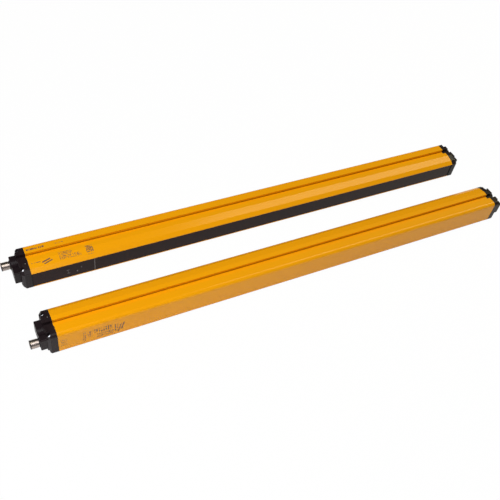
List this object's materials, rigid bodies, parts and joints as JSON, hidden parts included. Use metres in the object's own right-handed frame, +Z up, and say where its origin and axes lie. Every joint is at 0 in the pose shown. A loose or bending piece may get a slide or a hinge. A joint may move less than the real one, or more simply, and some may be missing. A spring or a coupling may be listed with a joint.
{
  "type": "safety light curtain",
  "caption": "Pair of long light-curtain bars, sender and receiver: yellow extruded housings with dark front screens, black bolted end caps and round nickel plugs.",
  "frame": {"origin": "On the floor, under the middle of the pair.", "axes": "X runs along both bars, away from the ends with the plugs. Y runs across, from the receiver to the sender. Z is up. The two optical fronts face each other across the plane Y = 0."},
  "size_m": [0.788, 0.1594, 0.04],
  "materials": {
    "yellow_paint": "satin yellow powder coat on extruded aluminium",
    "dark_screen": "glossy dark tinted acrylic",
    "black_rubber": "matt black rubber",
    "black_plastic": "fine-grained black moulded plastic",
    "bright_screws": "bright zinc-plated steel",
    "nickel": "bright nickel plate, turned",
    "gold_contacts": "gold-plated contacts",
    "board_green": "green circuit board lacquer",
    "white_plastic": "pale moulded plastic",
    "diode_resin": "dark clear resin",
    "clear_plastic": "clear moulded acrylic",
    "light_pipe": "milky light pipe"
  },
  "bodies": {
    "root": {"receiver_housing_profile": "yellow_paint", "receiver_front_screen": "dark_screen", "receiver_screen_seal": "black_rubber", "receiver_connector_gasket": "black_rubber", "receiver_far_gasket": "black_rubber", "receiver_connector_cap": "black_plastic", "receiver_far_cap": "black_plastic", "receiver_connector_cap_screws": "bright_screws", "receiver_far_cap_screws": "bright_screws", "receiver_grub_screws": "bright_screws", "receiver_circuit_board": "board_green", "receiver_lead_socket": "white_plastic", "receiver_lens_carrier": "black_plastic", "receiver_diodes": "diode_resin", "receiver_lens_strip": "clear_plastic", "receiver_indicator_block": "black_plastic", "receiver_indicator_lights": "light_pipe", "receiver_plug_shell": "nickel", "receiver_plug_insert": "black_plastic", "receiver_plug_pins": "gold_contacts", "receiver_plug_leads": "white_plastic", "receiver_plug_sealing_ring": "black_rubber", "sender_housing_profile": "yellow_paint", "sender_front_screen": "dark_screen", "sender_screen_seal": "black_rubber", "sender_connector_gasket": "black_rubber", "sender_far_gasket": "black_rubber", "sender_connector_cap": "black_plastic", "sender_far_cap": "black_plastic", "sender_connector_cap_screws": "bright_screws", "sender_far_cap_screws": "bright_screws", "sender_grub_screws": "bright_screws", "sender_circuit_board": "board_green", "sender_lead_socket": "white_plastic", "sender_lens_carrier": "black_plastic", "sender_diodes": "diode_resin", "sender_lens_strip": "clear_plastic", "sender_indicator_block": "black_plastic", "sender_indicator_lights": "light_pipe", "sender_plug_shell": "nickel", "sender_plug_insert": "black_plastic", "sender_plug_pins": "gold_contacts", "sender_plug_leads": "white_plastic", "sender_plug_sealing_ring": "black_rubber"}
  },
  "joints": []
}
